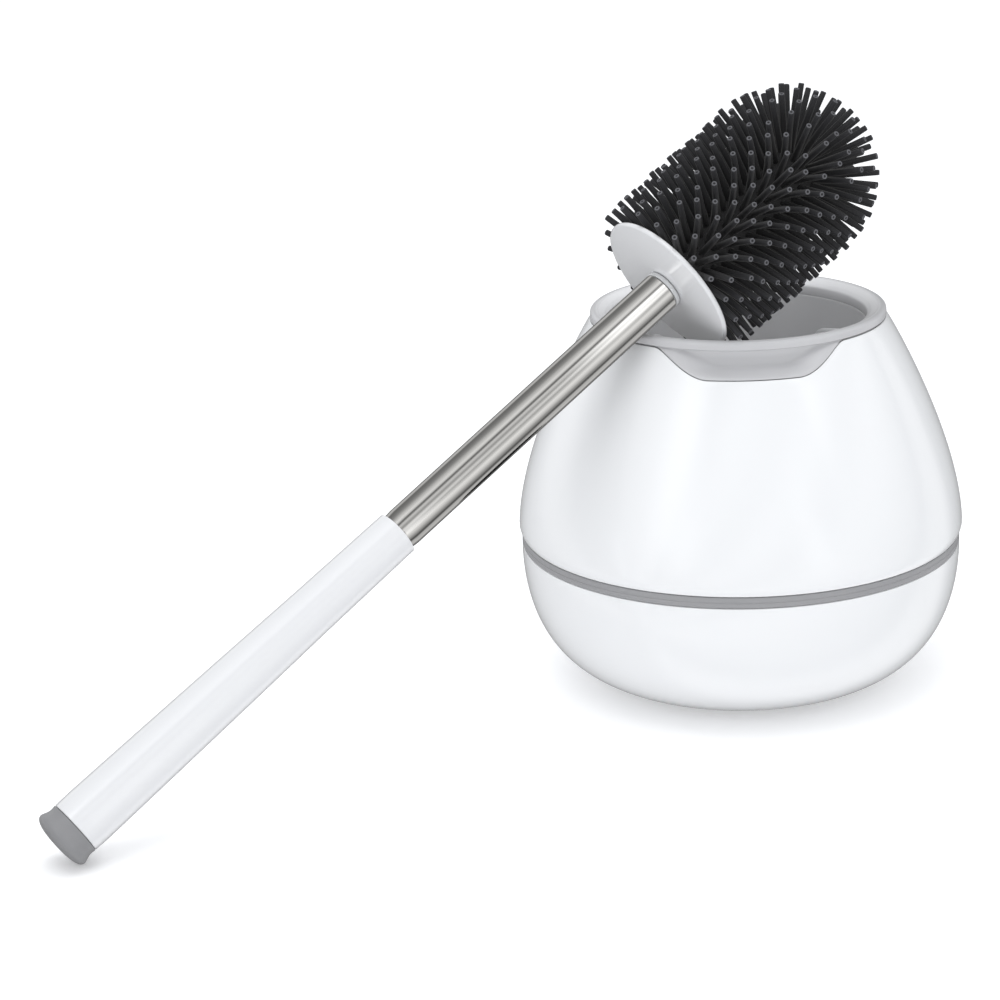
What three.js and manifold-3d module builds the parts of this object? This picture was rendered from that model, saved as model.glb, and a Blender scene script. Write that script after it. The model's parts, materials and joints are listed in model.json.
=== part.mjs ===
// Toilet brush holder: a round two-shell pot, a lift-out drip cup with a grey collar, and a
// silicone brush that leans on the collar with its handle on the floor.
// Millimetres, +Z up, origin on the floor under the middle of the pot, front of the pot at -Y.

import * as THREE from 'three';
import { mergeVertices } from 'three/addons/utils/BufferGeometryUtils.js';
import Module from 'manifold-3d';

// ---------------------------------------------------------------- driving dimensions

const GAP = 0.3; // air left between pieces that touch
const WALL = 2.2; // moulded wall of the shells
const POT_SIDES = 48;
const BRUSH_SIDES = 24;
const SMALL_SIDES = 12;

const POT_R = 84; // widest radius, at the upper shell's bottom edge
const SHELL_Z = 58; // upper shell's bottom edge
const SHELL_TOP_R = 55;
const SHELL_TOP_Z = 140;
const RING_HEIGHT = 4.6; // accent ring between the shells
const BOWL_R = 83.1;
const BOWL_Z = SHELL_Z - RING_HEIGHT;
const FOOT_R = 42; // flat underside of the bowl
const FOOT_Z = 0.8; // bowl's underside, held off the floor by the pad
const PAD_R = 38;
const PAD_THICK = 1.6;
const PAD_CHAMFER = 0.4;
const LIP_HEIGHT = 3; // the accent ring's inner lips, which centre the shells on each other
const LIP_IN_R = 78.3;
const LIP_GAP = 0.5;

// Outlines of the two shells: [radius, height] control points of a cubic curve.
const BOWL_OUTLINE = [[FOOT_R, FOOT_Z], [54, FOOT_Z], [BOWL_R, 8.4], [BOWL_R, BOWL_Z]];
const SHELL_OUTLINE = [[POT_R, SHELL_Z], [POT_R + 0.3, 89], [57, 138], [SHELL_TOP_R, SHELL_TOP_Z]];
const OUTLINE_STEPS = 12;

const RIM_Z = 143.6; // top outer edge of the collar
const RIM_R = 53.3;
const MOUTH_R = 47.8;
const MOUTH_Z = 141.2; // the collar's top slopes down to the mouth
const COLLAR_LIP_Z = 137.5; // bottom of the collar's inner lip
const SKIRT_OUT_R = 52.8; // collar's skirt, seen through the finger notches
const SKIRT_IN_R = 50.9;
const SKIRT_Z = 126;
const COLLAR_EDGE = 1.8; // radius of the collar's outer top edge
const MOUTH_EDGE = 0.9;

const CUP_TOP_R = 47.5; // inside of the drip cup
const CUP_TOP_Z = COLLAR_LIP_Z - GAP;
const CUP_FLOOR_R = 39.5;
const CUP_FLOOR_Z = 13.2;
const CUP_WALL = 2;
const CUP_CORNER = 4; // outside radius of the cup's floor corner
const CUP_BORE_CORNER = 3;
const CUP_BAND = 4; // height of the thick rim that clips into the collar

const NOTCH_TOP_HALF = 32; // finger notches in the shell, front and back
const NOTCH_FLOOR_HALF = 19;
const NOTCH_FLOOR_Z = 130.8;
const NOTCH_CORNER = 5;
const NOTCH_RUN_OUT = 4; // the notch's cutter widens above the shell's edge

const FIN_DIRECTIONS = [-20, -160, 90]; // degrees around the cup
const FIN_EDGE_R = 29; // the splash disc passes between the fins
const FIN_TOP_Z = 136.2;
const FIN_THICK = 1.6;
const FIN_CORNER = 4;

const POST_DIRECTIONS = [30, 150, 270]; // screw posts inside the pot
const POST_PLACE_R = 62;
const POST_R = 6;
const WELL_R = 4.2; // screwdriver well in each post
const WELL_END_Z = 46;
const SCREW_HOLE_R = 2.2;
const SCREW_HEAD_R = 3.6;
const SCREW_HEAD_HEIGHT = 2.6;
const FLANGE_Z = 61.4; // inner flange that carries the upper shell's bosses
const FLANGE_IN_R = 57;

// The brush is drawn along its own axis: 0 is the splash disc's handle side, the head is up
// the axis and the handle down it. It leans so that the tube lies on the collar's edge.
const DISC_CENTRE = new THREE.Vector3(-28.8, -32.5, 159.0);
const LEAN_SLOPE = THREE.MathUtils.degToRad(31.3); // above the floor
const LEAN_HEADING = THREE.MathUtils.degToRad(30.7); // from +X towards +Y
const CAP_END = -287.5; // rim of the end cap
const CAP_DOME = 3;
const CAP_JOINT = -282;
const CAP_RIM_R = 10.8;
const GRIP_FAT_R = 10.1;
const GRIP_END = -133.5;
const GRIP_THIN_R = 8.3;
const TUBE_R = 7.35;
const TUBE_WALL = 0.6;
const TUBE_START = -272;
const TUBE_END = -2.2;
const DISC_R = 28.6;
const DISC_THICK = 2.2;
const DISC_EDGE = 0.9;
const HEAD_START = 2.6; // first bristles, just above the disc
const HEAD_LENGTH = 97;
const HEAD_R = 34; // over the bristle tips
const CORE_R = 11;
const STUD_R = 3.9;
const STUD_START = -22;
const STOPPER_LENGTH = 13.7;
const INSERT_START = -26;

const FINISH = {
  white: { color: 0xf2f3f5, roughness: 0.22, metalness: 0 },
  grey: { color: 0xa3a4a8, roughness: 0.38, metalness: 0 },
  cupGrey: { color: 0x8d8e92, roughness: 0.5, metalness: 0 },
  steel: { color: 0xc9c7c2, roughness: 0.2, metalness: 1 },
  clear: { color: 0xe6e8ea, roughness: 0.3, metalness: 0 },
  silicone: { color: 0x202124, roughness: 0.55, metalness: 0 },
  rubber: { color: 0x3a3b3e, roughness: 0.8, metalness: 0 },
};

// ---------------------------------------------------------------- solids and meshes

const wasm = await Module();
wasm.setup();

/** Turns a closed three.js geometry into a manifold solid: welded, with no empty triangles. */
function solid(geometry) {
  geometry.deleteAttribute('normal');
  geometry.deleteAttribute('uv');
  const welded = mergeVertices(geometry, 1e-4);
  const index = welded.index.array;
  const triangles = [];
  for (let i = 0; i < index.length; i += 3) {
    const [a, b, c] = index.slice(i, i + 3);
    if (a !== b && b !== c && c !== a) triangles.push(a, b, c);
  }
  return new wasm.Manifold(new wasm.Mesh({
    numProp: 3,
    vertProperties: new Float32Array(welded.attributes.position.array),
    triVerts: new Uint32Array(triangles),
  }));
}

/** Turned solid from [radius, height] corners, listed anticlockwise: outside upwards. */
function turned(corners, sides) {
  const onAxis = corners[0][0] === 0;
  const outline = onAxis ? corners : [...corners, corners[0]];
  const points = outline.map(([radius, height]) => new THREE.Vector2(radius, height));
  return solid(new THREE.LatheGeometry(points, sides).rotateX(Math.PI / 2));
}

/** Solid disc or rod along Z. */
function rod(radius, bottom, top, sides = SMALL_SIDES) {
  return turned([[0, bottom], [radius, bottom], [radius, top], [0, top]], sides);
}

/** Flat shape in the XZ plane, made thick along Y about y = 0. */
function slab(shape, thickness, curveSegments) {
  const settings = { depth: thickness, bevelEnabled: false, curveSegments };
  const geometry = new THREE.ExtrudeGeometry(shape, settings);
  return solid(geometry.translate(0, 0, -thickness / 2).rotateX(Math.PI / 2));
}

function mesh(name, body, finish) {
  const { vertProperties, triVerts } = body.getMesh();
  const geometry = new THREE.BufferGeometry();
  geometry.setAttribute('position', new THREE.BufferAttribute(vertProperties, 3));
  geometry.setIndex(new THREE.BufferAttribute(triVerts, 1));
  geometry.computeVertexNormals();
  const piece = new THREE.Mesh(geometry, new THREE.MeshStandardMaterial(finish));
  piece.name = name;
  return piece;
}

/** Places a copy of a solid at each direction around Z, at the given radius. */
function around(body, directions, radius) {
  return directions.map((degrees) => body.translate([radius, 0, 0]).rotate([0, 0, degrees]));
}

/** [radius, height] points of a cubic curve through its four control points. */
function curve(controls, steps) {
  const vectors = controls.map(([radius, height]) => new THREE.Vector2(radius, height));
  return new THREE.CubicBezierCurve(...vectors).getPoints(steps).map((p) => [p.x, p.y]);
}

/** Quarter arc between two directions, in degrees, as [radius, height] points. */
function arc([centreR, centreZ], radius, from, to, steps) {
  return Array.from({ length: steps + 1 }, (_, i) => {
    const angle = THREE.MathUtils.degToRad(from + ((to - from) * i) / steps);
    return [centreR + radius * Math.cos(angle), centreZ + radius * Math.sin(angle)];
  });
}

/** The same line moved inwards by a wall's thickness, square to its direction. */
function inset(line, thickness) {
  return line.map(([radius, height], i) => {
    const [r0, z0] = line[Math.max(i - 1, 0)];
    const [r1, z1] = line[Math.min(i + 1, line.length - 1)];
    const length = Math.hypot(r1 - r0, z1 - z0);
    return [radius - ((z1 - z0) / length) * thickness, height + ((r1 - r0) / length) * thickness];
  });
}

// ---------------------------------------------------------------- pot

const bowlLine = curve(BOWL_OUTLINE, OUTLINE_STEPS);
const shellLine = curve(SHELL_OUTLINE, OUTLINE_STEPS);

function antiSlipPad() {
  return turned([
    [0, 0], [PAD_R - PAD_CHAMFER, 0], [PAD_R, PAD_CHAMFER], [PAD_R, PAD_THICK], [0, PAD_THICK],
  ], POT_SIDES);
}

/** Lower shell: a recess for the pad underneath and three hollow screw posts inside. */
function lowerBowl() {
  const recessZ = PAD_THICK + GAP;
  const floorZ = recessZ + WALL;
  const base = [[0, recessZ], [PAD_R + GAP, recessZ], [PAD_R + GAP, FOOT_Z]];
  const inside = inset(bowlLine, WALL).slice(1).reverse();
  const wall = turned([...base, ...bowlLine, ...inside, [PAD_R, floorZ], [0, floorZ]], POT_SIDES);
  const filled = turned([[0, FOOT_Z], ...bowlLine, [0, BOWL_Z]], POT_SIDES);
  let bowl = wall;
  for (const post of around(rod(POST_R, FOOT_Z, BOWL_Z), POST_DIRECTIONS, POST_PLACE_R)) {
    bowl = bowl.add(post.intersect(filled));
  }
  const hole = rod(WELL_R, FOOT_Z - 1, WELL_END_Z).add(rod(SCREW_HOLE_R, FOOT_Z, BOWL_Z + 1));
  for (const drilled of around(hole, POST_DIRECTIONS, POST_PLACE_R)) bowl = bowl.subtract(drilled);
  return bowl;
}

/** Grey ring between the shells, with an inner lip that centres the upper one. */
function accentRing() {
  const low = BOWL_Z + GAP;
  const high = SHELL_Z - GAP;
  const face = POT_R - 1;
  const lowerLip = BOWL_R - WALL - LIP_GAP;
  const upperLip = POT_R - WALL - LIP_GAP;
  return turned([
    [LIP_IN_R, low - LIP_HEIGHT], [lowerLip, low - LIP_HEIGHT], [lowerLip, low], [face, low],
    [face, high], [upperLip, high], [upperLip, high + LIP_HEIGHT], [LIP_IN_R, high + LIP_HEIGHT],
  ], POT_SIDES);
}

/** Outline of the finger notches, open at the top, with round lower corners. */
function notchShape() {
  const slope = (SHELL_TOP_Z - NOTCH_FLOOR_Z) / (NOTCH_TOP_HALF - NOTCH_FLOOR_HALF);
  const cornerTop = NOTCH_FLOOR_Z + NOTCH_CORNER * slope;
  const runOut = SHELL_TOP_Z + 3;
  const shape = new THREE.Shape();
  shape.moveTo(-NOTCH_TOP_HALF - NOTCH_RUN_OUT, runOut);
  shape.lineTo(-NOTCH_TOP_HALF, SHELL_TOP_Z);
  shape.lineTo(-NOTCH_FLOOR_HALF - NOTCH_CORNER, cornerTop);
  shape.quadraticCurveTo(
    -NOTCH_FLOOR_HALF, NOTCH_FLOOR_Z, -NOTCH_FLOOR_HALF + NOTCH_CORNER, NOTCH_FLOOR_Z);
  shape.lineTo(NOTCH_FLOOR_HALF - NOTCH_CORNER, NOTCH_FLOOR_Z);
  shape.quadraticCurveTo(
    NOTCH_FLOOR_HALF, NOTCH_FLOOR_Z, NOTCH_FLOOR_HALF + NOTCH_CORNER, cornerTop);
  shape.lineTo(NOTCH_TOP_HALF, SHELL_TOP_Z);
  shape.lineTo(NOTCH_TOP_HALF + NOTCH_RUN_OUT, runOut);
  return shape;
}

/** Upper shell: notched at the top, with an inner flange whose bosses take the screws. */
function upperShell() {
  const wall = turned([...shellLine, ...inset(shellLine, WALL).reverse()], POT_SIDES);
  const flangeEdge = POT_R - WALL / 2;
  const flangeTop = FLANGE_Z + WALL;
  const flange = turned([
    [FLANGE_IN_R, FLANGE_Z], [flangeEdge, FLANGE_Z], [flangeEdge, flangeTop], [FLANGE_IN_R, flangeTop],
  ], POT_SIDES);
  let shell = wall.add(flange);
  const boss = rod(POST_R - 1, BOWL_Z + GAP, FLANGE_Z + 1);
  for (const piece of around(boss, POST_DIRECTIONS, POST_PLACE_R)) shell = shell.add(piece);
  const hole = rod(SCREW_HOLE_R, BOWL_Z, FLANGE_Z);
  for (const drilled of around(hole, POST_DIRECTIONS, POST_PLACE_R)) shell = shell.subtract(drilled);
  return shell.subtract(slab(notchShape(), 2 * POT_R, 4));
}

/** Pan-head screw, driven upwards out of a well in the bowl. */
function housingScrew() {
  const headTop = WELL_END_Z - GAP;
  const headLow = headTop - SCREW_HEAD_HEIGHT;
  const shankR = SCREW_HOLE_R - GAP;
  const point = FLANGE_Z - 0.6;
  return turned([
    [0, headLow], [SCREW_HEAD_R - 1, headLow + 0.2], [SCREW_HEAD_R, headLow + 1.4], [SCREW_HEAD_R, headTop],
    [shankR, headTop], [shankR, point - 1.4], [0, point],
  ], SMALL_SIDES);
}

// ---------------------------------------------------------------- lift-out liner

/** Grey collar that sits on the shell: sloping top, inner lip and a skirt behind the notches. */
function collarRing() {
  const seat = SHELL_TOP_Z + GAP + 0.1;
  return turned([
    [SKIRT_IN_R, SKIRT_Z], [SKIRT_OUT_R, SKIRT_Z], [SKIRT_OUT_R, seat], [SHELL_TOP_R, seat],
    ...arc([SHELL_TOP_R - COLLAR_EDGE, RIM_Z - COLLAR_EDGE], COLLAR_EDGE, 0, 90, 4),
    [(RIM_R + MOUTH_R) / 2, RIM_Z - 1],
    ...arc([MOUTH_R + MOUTH_EDGE, MOUTH_Z - MOUTH_EDGE + 0.2], MOUTH_EDGE, 90, 180, 3),
    [MOUTH_R, COLLAR_LIP_Z], [SKIRT_IN_R, COLLAR_LIP_Z],
  ], POT_SIDES);
}

/** Centring fin of the cup: its foot and back are buried in the cup's floor and wall. */
function finShape() {
  const buried = CUP_WALL / 2;
  const foot = CUP_FLOOR_Z - buried;
  const shape = new THREE.Shape();
  shape.moveTo(FIN_EDGE_R, foot);
  shape.lineTo(CUP_FLOOR_R - CUP_WALL, foot);
  shape.lineTo(CUP_FLOOR_R + buried, CUP_FLOOR_Z + CUP_BORE_CORNER);
  shape.lineTo(CUP_TOP_R + buried - 0.2, FIN_TOP_Z);
  shape.lineTo(FIN_EDGE_R + FIN_CORNER, FIN_TOP_Z);
  shape.quadraticCurveTo(FIN_EDGE_R, FIN_TOP_Z, FIN_EDGE_R, FIN_TOP_Z - FIN_CORNER);
  return shape;
}

/** Drip cup that hangs from the collar, with moulded fins that centre the brush head. */
function dripCup() {
  const rimR = SKIRT_IN_R - GAP - 0.1;
  const underside = CUP_FLOOR_Z - CUP_WALL;
  const bandZ = CUP_TOP_Z - CUP_BAND;
  const corner = [CUP_FLOOR_R + CUP_WALL - CUP_CORNER, underside + CUP_CORNER];
  const boreCorner = [CUP_FLOOR_R - CUP_BORE_CORNER, CUP_FLOOR_Z + CUP_BORE_CORNER];
  const wall = turned([
    [0, underside], ...arc(corner, CUP_CORNER, -90, 0, 4), [CUP_TOP_R + CUP_WALL - GAP, bandZ - 1],
    [rimR, bandZ], [rimR, CUP_TOP_Z], [CUP_TOP_R, CUP_TOP_Z],
    ...arc(boreCorner, CUP_BORE_CORNER, 0, -90, 3), [0, CUP_FLOOR_Z],
  ], POT_SIDES);
  const fins = around(slab(finShape(), FIN_THICK, 3), FIN_DIRECTIONS, 0);
  return fins.reduce((cup, fin) => cup.add(fin), wall);
}

// ---------------------------------------------------------------- brush, along its own axis

/** Grey cap with hollowed sides, a domed end and a spigot inside the grip. */
function endCap() {
  const domeEnd = CAP_END - CAP_DOME;
  const shoulder = CAP_JOINT - GAP;
  const spigotR = TUBE_R + 0.1;
  const dome = curve([
    [0, domeEnd], [CAP_RIM_R / 2, domeEnd], [CAP_RIM_R - 0.6, CAP_END - 1.6], [CAP_RIM_R, CAP_END],
  ], 5);
  const flank = curve([
    [CAP_RIM_R, CAP_END], [CAP_RIM_R - 0.3, CAP_END + 1.6], [GRIP_FAT_R - 0.3, CAP_JOINT - 2.4],
    [GRIP_FAT_R, shoulder],
  ], 4);
  const spigot = [[spigotR, shoulder], [spigotR, TUBE_START - GAP], [0, TUBE_START - GAP]];
  return turned([...dome, ...flank.slice(1), ...spigot], BRUSH_SIDES);
}

/** White sleeve over the tube, thicker towards the cap. */
function grip() {
  const boreR = TUBE_R + GAP;
  const middle = (CAP_JOINT + GRIP_END) / 2;
  const middleR = (GRIP_FAT_R + GRIP_THIN_R) / 2 + 0.1;
  return turned([
    [boreR, CAP_JOINT], [GRIP_FAT_R - 0.2, CAP_JOINT], [GRIP_FAT_R, CAP_JOINT + 0.6], [middleR, middle],
    [GRIP_THIN_R, GRIP_END - 0.4], [GRIP_THIN_R - 0.3, GRIP_END], [boreR, GRIP_END],
  ], BRUSH_SIDES);
}

/** Tube, washer or insert with a plain bore, between two places on the brush's axis. */
function sleeve(boreR, outerR, start, end) {
  return turned([[boreR, start], [outerR, start], [outerR, end], [boreR, end]], BRUSH_SIDES);
}

function steelTube() {
  return sleeve(TUBE_R - TUBE_WALL, TUBE_R, TUBE_START, TUBE_END);
}

/** Plug that keeps water out of the tube's lower end. */
function tubeStopper() {
  const start = TUBE_START + GAP;
  return rod(TUBE_R - TUBE_WALL - GAP, start, start + STOPPER_LENGTH, BRUSH_SIDES);
}

/** Threaded insert in the tube's upper end, which takes the head's stud. */
function threadedInsert() {
  return sleeve(STUD_R + GAP, TUBE_R - TUBE_WALL - GAP, INSERT_START, TUBE_END);
}

/** Clear washer squeezed between the tube and the splash disc. */
function sealWasher() {
  return sleeve(STUD_R + GAP, TUBE_R, TUBE_END + GAP, -GAP);
}

/** White disc that keeps splashes off the handle. */
function splashDisc() {
  const boreR = STUD_R + GAP;
  return turned([
    [boreR, 0], [DISC_R - 1, 0.2],
    ...arc([DISC_R - DISC_EDGE, DISC_THICK / 2 + 0.1], DISC_EDGE, -60, 60, 3),
    [boreR, DISC_THICK],
  ], BRUSH_SIDES);
}

/** Stud and core of the head; the silicone sleeve is moulded over the core. */
function headCore() {
  const start = DISC_THICK + GAP;
  const end = HEAD_LENGTH - HEAD_R;
  return turned([
    [0, STUD_START], [STUD_R - 0.6, STUD_START], [STUD_R, STUD_START + 0.6], [STUD_R, start],
    [CORE_R, start],
    ...arc([0, end], CORE_R, 0, 90, 5).slice(0, -1), [0, end + CORE_R],
  ], BRUSH_SIDES);
}

/** Outer shape of the bristle head: a cylinder with a round end, hollow over the core. */
function bristleSleeve() {
  const boreR = CORE_R + GAP;
  const end = HEAD_LENGTH - HEAD_R;
  const crown = arc([0, end], HEAD_R, 0, 90, 8).slice(0, -1);
  const bore = arc([0, end], boreR, 90, 0, 5).slice(1);
  return turned([
    [0, HEAD_LENGTH], [0, end + boreR], ...bore, [boreR, HEAD_START], [HEAD_R, HEAD_START], ...crown,
    [0, HEAD_LENGTH],
  ], BRUSH_SIDES);
}

// ---------------------------------------------------------------- assembly

const holder = new THREE.Group();

const pot = new THREE.Group();
pot.add(mesh('anti_slip_pad', antiSlipPad(), FINISH.rubber));
pot.add(mesh('lower_bowl', lowerBowl(), FINISH.white));
pot.add(mesh('accent_ring', accentRing(), FINISH.grey));
pot.add(mesh('upper_shell', upperShell(), FINISH.white));
around(housingScrew(), POST_DIRECTIONS, POST_PLACE_R).forEach((screw, i) => {
  pot.add(mesh(`housing_screw_${i + 1}`, screw, FINISH.steel));
});
holder.add(pot);

const liner = new THREE.Group();
liner.add(mesh('collar_ring', collarRing(), FINISH.grey));
liner.add(mesh('drip_cup', dripCup(), FINISH.cupGrey));
holder.add(liner);

const brush = new THREE.Group();
brush.position.copy(DISC_CENTRE);
brush.rotation.set(0, Math.PI / 2 - LEAN_SLOPE, LEAN_HEADING, 'ZYX');
brush.add(mesh('end_cap', endCap(), FINISH.grey));
brush.add(mesh('grip', grip(), FINISH.white));
brush.add(mesh('tube_stopper', tubeStopper(), FINISH.rubber));
brush.add(mesh('steel_tube', steelTube(), FINISH.steel));
brush.add(mesh('threaded_insert', threadedInsert(), FINISH.white));
brush.add(mesh('seal_washer', sealWasher(), FINISH.clear));
brush.add(mesh('splash_disc', splashDisc(), FINISH.white));
brush.add(mesh('head_core', headCore(), FINISH.white));
brush.add(mesh('bristle_sleeve', bristleSleeve(), FINISH.silicone));
holder.add(brush);

export default holder;
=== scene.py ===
import json
import math

import bpy
import numpy as np
from mathutils import Matrix, Vector

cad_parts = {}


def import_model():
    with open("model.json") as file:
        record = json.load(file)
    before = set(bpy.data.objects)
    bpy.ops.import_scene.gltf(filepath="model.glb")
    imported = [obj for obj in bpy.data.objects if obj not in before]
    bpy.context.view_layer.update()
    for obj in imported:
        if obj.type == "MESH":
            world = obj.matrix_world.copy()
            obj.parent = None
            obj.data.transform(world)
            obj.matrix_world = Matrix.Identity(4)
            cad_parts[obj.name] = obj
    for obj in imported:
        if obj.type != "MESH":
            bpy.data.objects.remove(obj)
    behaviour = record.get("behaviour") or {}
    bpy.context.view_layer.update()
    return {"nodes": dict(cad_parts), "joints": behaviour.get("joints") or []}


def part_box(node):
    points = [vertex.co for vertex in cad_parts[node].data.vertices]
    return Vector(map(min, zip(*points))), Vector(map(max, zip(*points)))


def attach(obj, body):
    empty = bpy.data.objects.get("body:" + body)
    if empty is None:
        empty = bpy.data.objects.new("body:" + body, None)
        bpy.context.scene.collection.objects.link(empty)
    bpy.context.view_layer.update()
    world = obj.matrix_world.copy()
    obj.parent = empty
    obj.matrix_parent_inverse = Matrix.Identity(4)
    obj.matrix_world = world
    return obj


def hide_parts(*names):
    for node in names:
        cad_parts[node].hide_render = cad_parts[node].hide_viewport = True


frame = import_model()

# Toilet brush holder: a two-shell pot, its lift-out liner, and a brush that leans on the liner.
# Outlines and sizes are in millimetres; make_object turns them into the scene's metres.

MM = 0.001

# ------------------------------------------------------------------ places taken from the frame

JOINTS = {joint["name"]: joint for joint in frame["joints"]}
BRUSH_AT = Vector(JOINTS["head_unscrew"]["pos_m"])  # splash disc's handle side, on the axis
BRUSH_AXIS = Vector(JOINTS["head_unscrew"]["axis"]).normalized()
BRUSH_TURN = BRUSH_AXIS.to_track_quat("Z", "Y")
BRUSH_PLACE = Matrix.Translation(BRUSH_AT) @ BRUSH_TURN.to_matrix().to_4x4()


def on_brush(node):
    """Start and end of a CAD node along the brush's axis, and its largest radius, in mm."""
    inverse = BRUSH_PLACE.inverted()
    points = np.array([inverse @ v.co for v in frame["nodes"][node].data.vertices]) / MM
    return points[:, 2].min(), points[:, 2].max(), np.hypot(points[:, 0], points[:, 1]).max()


def on_pot(node):
    """Lowest and highest Z of a CAD node of the pot, and its largest radius, in mm."""
    low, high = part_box(node)
    return low.z / MM, high.z / MM, high.x / MM


_, SHELL_TOP, POT_R = on_pot("upper_shell")
SHELL_LOW = 58.0  # the shell's lower edge; the CAD node's screw bosses reach lower
SHELL_TOP_R = 55.0
BOWL_LOW, BOWL_TOP, BOWL_R = on_pot("lower_bowl")
SKIRT_LOW, RIM_TOP, COLLAR_R = on_pot("collar_ring")
CUP_LOW, CUP_TOP, _ = on_pot("drip_cup")
_, PAD_TOP, PAD_R = on_pot("anti_slip_pad")
WALL = 2.2
AIR = 0.3  # left around the pad
FINE_GAP = 0.15  # seam between the collar and the shell, and between the cap and the grip
LIP_EDGE = 0.4  # radius on the edges of the upper shell's lip
FOOT_R = 42.0  # flat underside of the bowl
MOUTH_R = 47.8  # collar's opening
MOUTH_TOP = 141.2  # inner end of the collar's sloping top
LIP_LOW = CUP_TOP + 0.08  # bottom of the collar's inner lip
SKIRT_R = 52.6  # outside of the collar's skirt
SKIRT_IN_R = 50.9
CUP_FLOOR = 2.0
CUP_OUT_R = (41.5, 49.2)  # outside of the cup at its floor and under its rim
CUP_BORE_R = (39.5, 47.5)  # inside of the cup at its floor and at its mouth
NOTCH_DEPTH = 9.2
NOTCH_FLOOR = SHELL_TOP - NOTCH_DEPTH
NOTCH_TOP_ANGLE = 38.0  # half width of a finger notch, in degrees around the pot
NOTCH_FLOOR_ANGLE = 15.5
FIN_DIRECTIONS = (-20, -160, 90)
FIN_EDGE_R = 29.0
FIN_WALL_R = (40.3, 48.3)  # a fin's outer edge, within the cup's wall, at its foot and at its top
FIN_TOP = 136.2
FIN_HALF = 0.8  # half of its thickness

# ------------------------------------------------------------------ outlines


def bezier(controls, steps):
    """Points of a cubic curve, as an array of [radius, height]."""
    t = np.linspace(0, 1, steps + 1)[:, None]
    p = np.array(controls, float)
    return (1 - t) ** 3 * p[0] + 3 * (1 - t) ** 2 * t * p[1] + 3 * (1 - t) * t * t * p[2] + t ** 3 * p[3]


def rounded(corners, steps=5, closed=True):
    """Outline through (radius, height, corner radius) corners, each turned into an arc."""
    points = []
    count = len(corners)
    for i, (r, z, fillet) in enumerate(corners):
        here = Vector((r, z))
        at_end = not closed and i in (0, count - 1)
        if fillet <= 0 or at_end:
            points.append((r, z))
            continue
        before = Vector(corners[i - 1][:2]) - here
        after = Vector(corners[(i + 1) % count][:2]) - here
        reach = min(before.length, after.length) * 0.49
        half = before.angle(after) / 2
        weight = math.sin(half)  # makes the curve a round arc
        cut = min(fillet / math.tan(half), reach)
        start = here + before.normalized() * cut
        end = here + after.normalized() * cut
        for k in range(steps + 1):
            t = k / steps
            a, b, c = (1 - t) ** 2, 2 * t * (1 - t) * weight, t * t
            mixed = (start * a + here * b + end * c) / (a + b + c)
            points.append((mixed.x, mixed.y))
    return np.array(points)


def inset(line, thickness):
    """The same line moved to its left by a thickness."""
    step = np.gradient(line, axis=0)
    step /= np.linalg.norm(step, axis=1)[:, None]
    return line + np.stack([-step[:, 1], step[:, 0]], 1) * thickness


# ------------------------------------------------------------------ meshes


def make_object(name, vertices, faces, place=None, sharp=35.0):
    """Smooth-shaded mesh object, given in mm, with its place in its mesh."""
    mesh = bpy.data.meshes.new(name)
    mesh.from_pydata([tuple(v) for v in np.asarray(vertices) * MM], [], faces)
    if place is not None:
        mesh.transform(place)
    mesh.validate()
    mesh.shade_smooth()
    mesh.set_sharp_from_angle(angle=math.radians(sharp))
    obj = bpy.data.objects.new(name, mesh)
    bpy.context.scene.collection.objects.link(obj)
    return obj


def grid_faces(rows, columns, closed_rows):
    """Quads of a grid that is closed around its columns, and around its rows if asked."""
    faces = []
    for i in range(rows if closed_rows else rows - 1):
        for j in range(columns):
            here, above = i * columns, ((i + 1) % rows) * columns
            onward = (j + 1) % columns
            faces.append((here + j, here + onward, above + onward, above + j))
    return faces


def ring_solid(name, radii, angles, heights, sharp=35.0):
    """Ring-shaped solid from a grid of [row around the section][column around Z] points."""
    radians = np.radians(angles)
    points = np.stack([radii * np.cos(radians), radii * np.sin(radians), heights], 2)
    rows, columns = radii.shape
    return make_object(name, points.reshape(-1, 3), grid_faces(rows, columns, True), sharp=sharp)


def turned(name, outline, sides=96, place=None, sharp=35.0):
    """Turned solid; the outline runs anticlockwise, and ends on the axis or closes on itself."""
    outline = np.asarray(outline, float)
    on_axis = outline[0, 0] < 1e-6
    ring = outline[1:-1] if on_axis else outline
    angle = np.linspace(0, 2 * math.pi, sides, endpoint=False)
    rows = [np.stack([r * np.cos(angle), r * np.sin(angle), np.full(sides, z)], 1) for r, z in ring]
    vertices = list(np.concatenate(rows))
    faces = grid_faces(len(ring), sides, not on_axis)
    if on_axis:
        first, last = len(vertices), len(vertices) + 1
        vertices += [(0, 0, outline[0, 1]), (0, 0, outline[-1, 1])]
        top = (len(ring) - 1) * sides
        faces += [(first, (j + 1) % sides, j) for j in range(sides)]
        faces += [(last, top + j, top + (j + 1) % sides) for j in range(sides)]
    return make_object(name, vertices, faces, place, sharp)


# ------------------------------------------------------------------ materials


def take(tree, name, kind, default=None):
    """Adds a named input to a node group."""
    made = tree.interface.new_socket(name=name, in_out="INPUT", socket_type=f"NodeSocket{kind}")
    if default is not None:
        made.default_value = default


def give(tree, name, kind):
    """Adds a named output to a node group."""
    tree.interface.new_socket(name=name, in_out="OUTPUT", socket_type=f"NodeSocket{kind}")


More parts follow.
